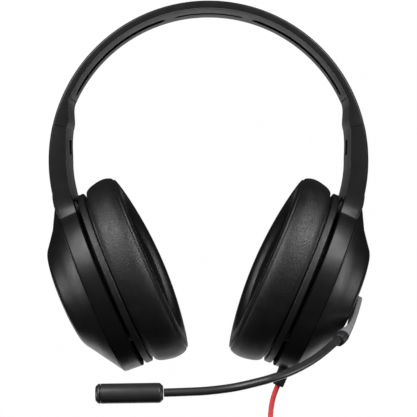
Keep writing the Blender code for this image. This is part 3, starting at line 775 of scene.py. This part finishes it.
def make_yoke(name, side):
    """The arm and the ring that holds the cup, moulded in one."""
    sections = []
    for s, inset in ends(SEAM + SEAM_GAP, ARM_STOP, 76)[:-1]:
        section = channel(s, lambda d: arm_half_width(s, d), *ARM_WALL, inset)
        sections.append([Vector((side * p.x, p.y, p.z)) for p in section])
    yoke = solid(f"{name}_yoke_piece", loft(sections))
    oval = oval_on(side)
    middle = (RING_OUTER[0] + RING_INNER[0]) / 2
    combine(yoke, "DIFFERENCE", [turned(cone(middle, -8, 9), oval)])
    ring = rounded(
        (
            (RING_OUTER[0], RING_LOW, 0.7),
            (RING_OUTER[1], RING_HIGH, 0.9),
            (RING_INNER[1], RING_HIGH, 0.5),
            (RING_INNER[0], RING_LOW, 0.7),
        )
    )
    joined = [turned([tuple(p) for p in ring], oval)]
    inner, outer, radius = BOSS
    for way in (-1, 1):
        boss = about(cup_point(side, 0, 0, 0), Y_AXIS * way)
        joined.append(turned(rod(radius, inner, outer), boss, 32))
    combine(yoke, "UNION", joined)
    bore = about(cup_point(side, 0, 0, 0), Y_AXIS)
    depth = outer - 2 * GAP
    cutters = [turned(rod(1.5 + GAP, -depth, depth), bore, 32)]
    if side == LEFT:
        u, y = WHEEL_PLACE
        low, high = WHEEL_SPAN
        cutters.append(turned(rod(WHEEL_RADIUS + GAP, low - GAP, high + GAP), round_on(LEFT, u, y), 64))
        cutters.append(button_bar(BUTTON_HALF[0] + GAP, BUTTON_HALF[1] + GAP, (-3.0, 3.0)))
        section = superellipse(4.3, 4.6, 3.5)
        notch = [[cup_point(LEFT, u, q, BOOT_A + 1.1 + a) for q, a in section] for u in (-43.0, -52.0)]
        cutters.append(loft(notch))
    combine(yoke, "DIFFERENCE", cutters)
    fair(yoke, side)
    dress(yoke, f"{name}_arm", "shell_plastic", replaced=[f"{name}_yoke"])
    up, outward = cup_axes(side)
    centre = cup_point(side, 0, 0, 0)

    def on_rim(point):
        place = point - centre
        return place.dot(up) < RING_OUTER[0] and abs(place.dot(outward) - RING_LOW) < RIM_REACH

    # Painted shade: the ring's rim towards the head is painted deep black
    paint_shade(yoke, on_rim)


def make_arm_cover(name, side):
    """The plate that closes an arm towards the head, with its window."""
    sections = []
    for s, inset in ends(SEAM + SEAM_GAP, COVER_END, 50):
        half = arm_half_width(s, thickness(s)) - ARM_WALL[1] - GAP
        sections.append([band_point(side * s, d, y) for y, d in plate(s, half, 1.6, inset)])
    cover = solid(f"{name}_arm_cover_piece", loft(sections))
    edge = cone(RING_OUTER[0] + GAP, -9, 3)
    combine(cover, "DIFFERENCE", [turned(edge, oval_on(side)), rounded_window(side)])
    # The cover takes the lighter copy of inner_plastic: painted light
    dress(cover, f"{name}_arm", "inner_plastic", "inner_plastic_painted_light", [f"{name}_arm_cover"])
    middle = band_point(side * sum(WINDOW_SPAN) / 2, 8.5, WINDOW_Y)

    def in_window(point):
        turn = math.atan2(abs(point.x), point.z - CROWN_TOP + BAND_RADIUS)
        under = thickness(turn * BAND_RADIUS) - band_depth(point)
        beside = abs(point.y - WINDOW_Y)
        return (point - middle).length < 8.0 and beside < WINDOW_HALF + 0.1 and under > 0.15

    # Painted shade: the window's walls are painted deep black
    paint_shade(cover, in_window)


def rounded_window(side):
    """The cutter for an arm cover's window: a box along the band with rounded corners."""
    sections = []
    near, far = WINDOW_SPAN
    corner = 1.0
    stations = [near + corner * (1 - math.cos(t)) for t in spread(0.05, math.pi / 2, 6)]
    stations += [far - corner * (1 - math.cos(t)) for t in spread(math.pi / 2, 0.05, 6)]
    for s in stations:
        into = min(s - near, far - s, corner)
        half = WINDOW_HALF - corner + math.sqrt(corner**2 - (corner - into) ** 2)
        outline = ((-half, 4.0), (half, 4.0), (half, 12.0), (-half, 12.0))
        sections.append([band_point(side * s, d, WINDOW_Y + y) for y, d in outline])
    return loft(sections)


def make_sleeve_cover(name, side):
    """The plate that closes the headband's end towards the head."""
    half = BAND_HALF_WIDTH - BAND_WALL[1] - GAP
    sections = []
    for s, inset in ends(LINER_END + GAP, SEAM - SEAM_GAP, 16):
        sections.append([band_point(side * s, d, y) for y, d in plate(s, half, 1.5, inset)])
    cover = solid(f"{name}_sleeve_cover_piece", loft(sections))
    # The cover takes the lighter copy of inner_plastic: painted light
    dress(cover, "headband", "inner_plastic", "inner_plastic_painted_light", [f"{name}_sleeve_cover"])


def make_outer_cover(name, side):
    """A low dome on a cone."""
    dome = smooth_line(
        [(0, 22.4), (9.0, 22.25), (17.5, 21.7), (24.0, 20.6), (27.0, 19.4), (28.9, 18.05), (32.5, 15.3)],
        0.8,
    )
    rim = [(36.5, 12.3), (46.2, 5.75), (46.38, 5.5), (46.38, 5.37), (44.2, 5.37)]
    rim += [(27.4, 16.4), (24.0, 18.4), (9.0, 20.1)]
    profile = [(0, 22.4), *[tuple(p) for p in dome[1:]], *rim, (0, 20.2)]
    cover = solid(f"{name}_outer_cover_piece", turned(profile, oval_on(side)), 28)
    if side == LEFT:
        pin_hole = rod(HUB_PIN_RADIUS + GAP, 15, 25)
        combine(cover, "DIFFERENCE", [turned(pin_hole, round_on(side, HUB_U), 32)])
    fair(cover, side)
    dress(cover, f"{name}_arm", "shell_plastic", replaced=[f"{name}_outer_cover"])


# ---- cups --------------------------------------------------------------------


CUSHION = (
    (46.2, -12.1),
    (47.3, -11.0),
    (48.9, -11.5),
    (50.3, -15.0),
    (51.4, -20.0),
    (51.4, -24.0),
    (50.6, -26.6),
    (49.2, -28.3),
    (47.2, -29.5),
    (43.6, -30.1),
    (39.6, -29.7),
    (36.2, -28.2),
    (34.2, -25.0),
    (33.2, -19.0),
    (33.4, -12.1),
)
SEAM_AT = Vector((49.2, -28.3))
CLOTH_STEPS = 20
CLOTH_SLACK = 0.5
CLOTH_MOST = 1.6
LINING_EDGE = Vector((35.0, -27.5))
REAR_SWELL = 3.6
FOOT_SWELL = 0.9
BASE_SWELL = 1.7


def cushion_profile():
    """The cushion's section with close loops by the seam, which points are sewn, and the seam."""
    curve = smooth_line(CUSHION, 0.25)
    lengths = [0.0]
    for before, after in zip(curve, curve[1:]):
        lengths.append(lengths[-1] + (after - before).length)
    seam = lengths[min(range(len(curve)), key=lambda k: (curve[k] - SEAM_AT).length)]

    def at(length):
        k = min(range(len(curve)), key=lambda k: abs(lengths[k] - length))
        return curve[k]

    outer = [0.0, 1.2, *spread(2.6, seam - 1.9, 6)]
    around = [seam - 1.0, seam - 0.5, seam, seam + 0.5, seam + 1.0]
    inner = spread(seam + 2.0, lengths[-1], 12)
    points = [at(length) for length in [*outer, *around, *inner]]
    seam_at = len(outer) + 2
    sewn = {0: 1.0, seam_at: 0.9, len(points) - 1: 1.0, len(points): 1.0, len(points) + 1: 1.0}
    base = [Vector((37.0, -12.1)), Vector((42.0, -12.1))]
    return [*points, *base], sewn, seam_at


def make_cushion(name, side):
    """The ear cushion: a sewn leatherette ring, swollen by its foam (a cloth simulation)."""
    skin, sewn, seam = cushion_profile()
    centre = Vector((40.5, -21.5))
    profile = []
    for k, point in enumerate(skin):
        inward = (centre - point).normalized() * (0.0 if k in sewn else CLOTH_SLACK)
        profile.append(point + inward)
    size = len(profile)
    segments = 120
    place = oval_on(side)
    shape = turned([tuple(p) for p in profile], place, segments)
    cushion = solid(f"{name}_ear_cushion_piece", shape, 180)
    rest = [v.co.copy() for v in cushion.data.vertices]
    pins = cushion.vertex_groups.new(name="pins")
    for k, weight in sewn.items():
        pins.add([ring * size + k for ring in range(segments)], weight, "REPLACE")
    cloth = cushion.modifiers.new("cloth", "CLOTH")
    cloth.settings.vertex_group_mass = "pins"
    cloth.settings.use_pressure = True
    cloth.settings.uniform_pressure_force = 4.0
    cloth.settings.effector_weights.gravity = 0.0
    cloth.settings.quality = 6
    cloth.settings.tension_stiffness = 12.0
    cloth.settings.compression_stiffness = 12.0
    cloth.settings.bending_stiffness = 0.6
    cloth.point_cache.frame_start = 1
    cloth.point_cache.frame_end = CLOTH_STEPS
    for step in range(1, CLOTH_STEPS + 1):
        bpy.context.scene.frame_set(step)
    graph = bpy.context.evaluated_depsgraph_get()
    moved = [v.co.copy() for v in cushion.evaluated_get(graph).data.vertices]
    cushion.modifiers.clear()
    most = CLOTH_MOST * MM
    for vertex, start, end in zip(cushion.data.vertices, rest, moved):
        shift = end - start
        if shift.length > most:
            shift = shift * (most / shift.length)
        vertex.co = start + shift
    along = cup_axes(side)[1]
    for ring in range(segments):
        turn = 2 * math.pi * ring / segments
        outward = (place(math.cos(turn), math.sin(turn), 0) - place(0, 0, 0)).normalized()
        belly = math.sin(turn) ** 2
        swell = REAR_SWELL * (belly if math.sin(turn) > 0 else 0.0) - FOOT_SWELL * math.cos(turn)
        for k, point in enumerate(skin):
            vertex = cushion.data.vertices[ring * size + k]
            vertex.co -= along * (ease(-point.y, 13.0, 28.5) * swell * MM)
            if 0 < k < seam and point.y > -18.0:
                low = min(1.0, (point.y + 18.0) / 5.0)
                low *= ease(point.x, 47.6, 48.7)
                vertex.co += along * (BASE_SWELL * belly * low * low * (3 - 2 * low) * MM)
        crease = cushion.data.vertices[ring * size + seam]
        crease.co += (outward * -0.75 + along * 0.65) * (1.1 * MM)
        piping = cushion.data.vertices[ring * size + seam + 2]
        piping.co += (outward * 0.75 - along * 0.65) * (0.2 * MM)
    dress(cushion, f"{name}_cup", "leatherette", replaced=[f"{name}_ear_cushion"])
    cushion.data.materials.append(LOOKS["mesh_fabric"])
    for k, face in enumerate(cushion.data.polygons):
        point = skin[k % size]
        if point.x < LINING_EDGE.x and point.y > LINING_EDGE.y:
            face.material_index = 1
    smooth = cushion.modifiers.new("smooth", "SUBSURF")
    smooth.levels = smooth.render_levels = 2
    settle(cushion, 180)


def make_cup(name, side):
    """The part that tilts in the yoke ring: baffle, cushion ring, mesh and cushion."""
    body = f"{name}_cup"
    oval = oval_on(side)
    baffle = rounded(
        (
            (21.0, -8.4, 0.3),
            (44.5, -8.4, 0.4),
            (44.5, -6.4, 0.4),
            (34.0, -6.4, 0.5),
            (34.0, 3.0, 0.3),
            (32.0, 3.0, 0.3),
            (32.0, -6.4, 0.3),
            (21.0, -6.4, 0.3),
        )
    )
    made = solid(f"{name}_baffle_piece", turned([tuple(p) for p in baffle], oval))
    pins = []
    for way in (-1, 1):
        trunnion = about(cup_point(side, 0, 0, 0), Y_AXIS * way)
        pins.append(turned(rod(1.5, 26.6, BOSS[1] - 3 * GAP), trunnion, 32))
    combine(made, "UNION", pins)
    dress(made, body, "inner_plastic", replaced=[f"{name}_baffle"])

    lip = rounded(
        (
            (44.8, -6.3, 0.3),
            (47.5, -6.3, 0.15),
            (47.9, -6.7, 0.15),
            (47.9, -9.5, 0.2),
            (47.6, -9.8, 0.15),
            (45.4, -10.1, 0.2),
            (45.4, -11.8, 0.3),
            (40.0, -11.8, 0.3),
            (40.0, -8.7, 0.3),
            (44.8, -8.7, 0.3),
        )
    )
    ring = solid(f"{name}_cushion_ring_piece", turned([tuple(p) for p in lip], oval))
    dress(ring, body, "leatherette", replaced=[f"{name}_cushion_ring"])

    disc = [(0, -10.9), (12, -10.75), (24, -10.35), (34, -9.8)]
    disc += [(39.2, -9.45), (39.6, -9.3), (39.6, -8.7), (0, -8.7)]
    fabric = solid(f"{name}_ear_mesh_piece", turned(disc, oval))
    dress(fabric, body, "mesh_fabric", replaced=[f"{name}_ear_mesh"])
    make_cushion(name, side)


# ---- left side only ------------------------------------------------------------


def button_point(along, across, out):
    """A point of the mute button: along the ring, across it (outward from the cup), and out."""
    normal_u, normal_y = BUTTON_NORMAL
    u = BUTTON_PLACE[0] + normal_u * out + normal_y * along
    y = BUTTON_PLACE[1] + normal_y * out - normal_u * along
    return cup_point(LEFT, u, y, BUTTON_A + across)


def button_bar(half_length, half_height, outs, shrink=0.0):
    """A rounded bar along the button's normal."""
    sections = []
    for k, out in enumerate(outs):
        back = shrink if k == len(outs) - 1 else 0.0
        outline = superellipse(half_length - back, half_height - back, 4)
        sections.append([button_point(p, q, out) for p, q in outline])
    return loft(sections)


def make_controls():
    """The ribbed volume wheel and the mute button, at the rear of the left ring."""
    u, y = WHEEL_PLACE
    low, high = WHEEL_SPAN
    teeth = 40
    sections = []
    for radius_in, a in ((0.35, low), (0.0, low + 0.35), (0.0, high - 0.35), (0.35, high)):
        outline = []
        for k in range(teeth * 4):
            turn = 2 * math.pi * k / (teeth * 4)
            radius = WHEEL_RADIUS - radius_in - (0.22 if k % 4 in (0, 1) else 0.0)
            outline.append(cup_point(LEFT, u + radius * math.cos(turn), y + radius * math.sin(turn), a))
        sections.append(outline)
    wheel = solid("volume_wheel_piece", loft(sections), 25)
    dress(wheel, "volume_wheel", "boom_rubber", replaced=["volume_wheel"])
    button = solid("mute_button_piece", button_bar(*BUTTON_HALF, (-4.0, 0.75, 1.0), 0.3))
    dress(button, "mute_button", "boom_rubber", replaced=["mute_button"])


def make_boot():
    """The lead's strain relief: a flange inside the ring and a ribbed taper."""

    def section(u, half_y, half_a):
        return [cup_point(LEFT, u, q, BOOT_A + a) for q, a in superellipse(half_y, half_a, 3.5, 40)]

    sections = [
        section(-42.2, 5.0, 2.4),
        section(-42.4, 5.2, 2.5),
        section(-43.4, 5.2, 2.5),
        section(-43.4, 4.0, 2.5),
        section(-44.6, 4.0, 3.2),
        section(-49.0, 3.75, 3.13),
    ]
    for start in (49.4, 51.2, 53.0, 54.8):
        share = (start - 49.0) / 8.2
        half_y, half_a = 3.72 - 0.32 * share, 3.12 - 0.12 * share
        for offset, sink in ((0.0, 0.0), (0.15, 0.12), (0.35, 0.12), (0.5, 0.0)):
            sections.append(section(-start - offset, half_y - sink, half_a - sink))
    sections.append(section(BOOT_END + 0.5, 3.42, 3.0))
    sections.append(section(BOOT_END, 3.1, 2.7))
    boot = solid("cable_boot_piece", loft(sections))
    dress(boot, "left_arm", "boom_rubber", replaced=["cable_boot"])
    return boot


def pod_section(e):
    """A section across the boom's arm, as its CAD has it."""
    top = POD_TOP - POD_FALL * (e + 3.0) ** 2
    start, lateness = POD_DEEPENS
    fall = max(0.0, (e - start) / (POD_END - start)) ** lateness
    under = top - POD_THICKNESS - (2 * COLLAR_RADIUS - POD_THICKNESS) * fall
    if e < 0:
        half = POD_HALF_WIDTH * math.sqrt(1 - (e / POD_BACK) ** 2)
    else:
        half = POD_HALF_WIDTH + (COLLAR_RADIUS - POD_HALF_WIDTH) * e / POD_END
    outline = superellipse(half, (top - under) / 2, 5.0 - 2.8 * fall, 48)
    return [boom_point(e, f, (top + under) / 2 + a) for f, a in outline]


def make_boom():
    """The swinging arm, its collar, the bendable tube and the microphone."""
    back = [-POD_BACK * math.cos(t) for t in spread(0.12, math.pi / 2, 14)]
    arm = solid("boom_arm_piece", loft([pod_section(e) for e in [*back, *spread(1.0, POD_END, 44)]]), 40)
    dress(arm, "boom", "boom_silver", replaced=["boom_arm"])

    start = boom_point(POD_END + GAP, 0, COLLAR_A)
    first, second = (Vector(point) for point in TUBE_ROUTE[:2])
    away = (first - second).normalized()
    end = first + away * GAP
    outward = cup_axes(LEFT)[1]
    side_way = outward.cross(away).normalized()
    out_way = away.cross(side_way)
    collar_ring = superellipse(COLLAR_RADIUS, COLLAR_RADIUS, 2, 48)
    near = [boom_point(POD_END + GAP, f, COLLAR_A + a) for f, a in collar_ring]
    far = [end + side_way * f + out_way * a for f, a in superellipse(3.15, 3.15, 2, 48)]
    sections = []
    swell = ((0, 0.93), (0.04, 1.0), (0.3, 1.045), (0.5, 1.07), (0.75, 1.04), (0.95, 0.99), (1, 0.9))
    for share, grow in swell:
        middle = start + (end - start) * share
        sections.append(
            [middle + ((p - start) * (1 - share) + (q - end) * share) * grow for p, q in zip(near, far)]
        )
    collar = solid("boom_collar_piece", loft(sections))
    dress(collar, "boom", "boom_rubber", replaced=["boom_collar"])
    gooseneck = tube("boom_tube_piece", smooth_line(TUBE_ROUTE, 1.2), TUBE_DIAMETER / 2, 6)
    dress(gooseneck, "boom", "boom_rubber", "gooseneck", ["boom_tube"])

    mic = about(MIC_START, MIC_AXIS)
    length = MIC_LENGTH - 2.5
    housing = rounded(
        (
            (0, 0, 0),
            (3.2, 0, 0.3),
            (MIC_RADIUS, 1.6, 0.5),
            (MIC_RADIUS, length, 0.2),
            (3.9, length, 0.1),
            (3.9, 2.5, 0.1),
            (0, 2.5, 0),
        ),
        closed=False,
    )
    capsule = solid("mic_housing_piece", turned([tuple(p) for p in housing], mic, 96))
    ports = []
    for turn in (0.0, 0.62, -0.62):
        for along in (20.0, 23.5):
            outline = superellipse(0.55, 1.2, 2.4, 24)
            aim = math.pi + turn
            section = []
            for radius in (3.0, 6.0):
                around = [(aim + p / MIC_RADIUS, along + h) for p, h in outline]
                section.append([mic(radius * math.cos(t), radius * math.sin(t), h) for t, h in around])
            ports.append(loft(section))
    combine(capsule, "DIFFERENCE", ports)
    dress(capsule, "boom", "boom_rubber", "gooseneck", ["mic_housing"])
    cap_profile = rounded(
        (
            (0, length - 1.3, 0),
            (3.5, length - 1.3, 0.1),
            (3.5, length + GAP, 0.1),
            (MIC_RADIUS, length + GAP, 0.2),
            (MIC_RADIUS, MIC_LENGTH - 1.4, 0.5),
            (3.4, MIC_LENGTH, 0.4),
            (0, MIC_LENGTH, 0),
        ),
        closed=False,
    )
    cap = solid("mic_end_cap_piece", turned([tuple(p) for p in cap_profile], mic, 96))
    dress(cap, "boom", "boom_rubber", "gooseneck", ["mic_end_cap"])


# ---- lead ---------------------------------------------------------------------


def cord_line():
    """The lead's whole centreline: down from the boot, 18 turns of a coil, and the tail."""
    build = 2.42
    pitch = CORD_DIAMETER
    columns = []
    for layer, count in enumerate((5, 4, 5, 4)):
        radius = COIL_RADIUS + build * (1.5 - layer)
        places = [(k - (count - 1) / 2) * pitch for k in range(count)]
        if layer % 2:
            places.reverse()
        columns += [(radius, y) for y in places]
    start_turn = math.radians(72)
    stop_turn = math.radians(150)
    whole = 2 * math.pi
    last = whole - (stop_turn - start_turn)
    crossing = 0.15
    points = []
    steps = 40
    for k, (radius, y) in enumerate(columns):
        following = columns[k + 1] if k + 1 < len(columns) else None
        for step in range(steps):
            share = step / steps
            if following is None and share * whole > last:
                break
            blend = max(0.0, (share - (1 - crossing)) / crossing) if following else 0.0
            blend = blend * blend * (3 - 2 * blend)
            r = radius + ((following[0] - radius) * blend if following else 0.0)
            across = y + ((following[1] - y) * blend if following else 0.0)
            turn = start_turn - share * whole
            points.append(COIL_CENTRE + Vector((r * math.cos(turn), across, r * math.sin(turn))))
    lead = smooth_line(LEAD_ROUTE, 1.3)
    entry = bridge(lead[-1], lead[-1] - lead[-2], points[0], points[1] - points[0], 2.9, 6)
    tail = smooth_line(TAIL_ROUTE, 1.3)
    leave = bridge(points[-1], points[-1] - points[-2], tail[0], tail[1] - tail[0], 5.0, 12)
    return [*lead, *entry, *points, *leave, *tail]


def bridge(start, start_way, end, end_way, reach, count):
    """Points between two ends on a smooth curve that follows both directions."""
    first = start + start_way.normalized() * reach
    second = end - end_way.normalized() * reach
    points = []
    for k in range(1, count):
        t = k / count
        points.append(
            start * (1 - t) ** 3 + first * 3 * t * (1 - t) ** 2 + second * 3 * t * t * (1 - t) + end * t**3
        )
    return points


def make_cord():
    """The whole lead with its tie and plug; it is kept out of the black cups' reflections."""
    line = cord_line()
    lead = tube("lead_cord", line, CORD_DIAMETER / 2, 3)
    dress(lead, "left_arm", "cable_red", replaced=["cord_lead", "cord_coil", "cord_tail"])
    lead.visible_glossy = False
    lead.visible_diffuse = False

    half_build, half_width, thick = 5.75, 7.7, 0.9
    sections = []
    centre = COIL_CENTRE - Vector((COIL_RADIUS, 0, 0))
    corners = rounded(((0.0, -1.6, 0.3), (thick, -1.6, 0.3), (thick, 1.6, 0.3), (0.0, 1.6, 0.3)), 3)
    for k in range(64):
        outline = []
        for out, z in corners:
            shape = superellipse(half_build + out, half_width + out, 6, 64)
            outline.append(centre + Vector((*shape[k], z)))
        sections.append(outline)
    tie = solid("cable_tie_piece", loft(sections, closed=True))
    dress(tie, "left_arm", "boom_rubber", replaced=["cable_tie"])

    plug = about(PLUG_TOP, Vector((0, 0, -1)))
    grip = []
    stations = [(0, 2.0, 2.0), (0.3, 2.4, 2.4)]
    for start in (1.2, 2.8, 4.4, 6.0):
        half = 2.4 + 0.075 * start
        stations += [(start, half, half), (start + 0.2, half - 0.3, half - 0.3)]
        stations += [(start + 0.7, half - 0.3, half - 0.3), (start + 0.9, half + 0.05, half + 0.05)]
    stations += [(8, 3.0, 3.0), (8.8, 3.6, 3.1), (9.6, 5.9, 3.4)]
    stations += [(10.4, 7.1, 3.65), (12, 7.9, 3.95), (13, 8.0, 4.0)]
    for start in (15.0, 17.0, 19.0, 21.0, 23.0):
        stations += [(start, 8.0, 4.0), (start + 0.25, 7.75, 3.75)]
        stations += [(start + 0.75, 7.75, 3.75), (start + 1.0, 8.0, 4.0)]
    stations += [(30, 8.0, 4.0), (31.4, 7.8, 3.8), (GRIP_LENGTH, 7.3, 3.3)]
    for depth, half_x, half_y in stations:
        grip.append([plug(p, q, depth) for p, q in superellipse(half_x, half_y, 4, 40)])
    handle = solid("usb_plug_grip_piece", loft(grip))
    dress(handle, "left_arm", "boom_rubber", replaced=["usb_plug_grip"])

    top = GRIP_LENGTH + GAP
    shell = solid("usb_plug_shell_piece", brick(plug, (-6.0, -2.25, top), (6.0, 2.25, top + 12)))
    cutters = [brick(plug, (-5.6, -1.85, top + 0.8), (5.6, 1.85, top + 14))]
    for p in (-2.6, 2.6):
        cutters.append(brick(plug, (p - 1.15, -4.0, top + 5.2), (p + 1.15, 4.0, top + 7.6)))
    combine(shell, "DIFFERENCE", cutters)
    dress(shell, "left_arm", "spring_steel", replaced=["usb_plug_shell"])


# ---- the headset -----------------------------------------------------------------


make_stage()
make_headband()
for name, side in SIDES.items():
    make_sleeve_cover(name, side)
    make_yoke(name, side)
    make_arm_cover(name, side)
    make_outer_cover(name, side)
    make_cup(name, side)
make_controls()
boot = make_boot()
make_boom()
make_cord()
for cad_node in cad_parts.values():
    for slot in cad_node.material_slots:
        known = slot.material.name.split(".")[0]
        slot.link = "OBJECT"
        slot.material = LOOKS[known]
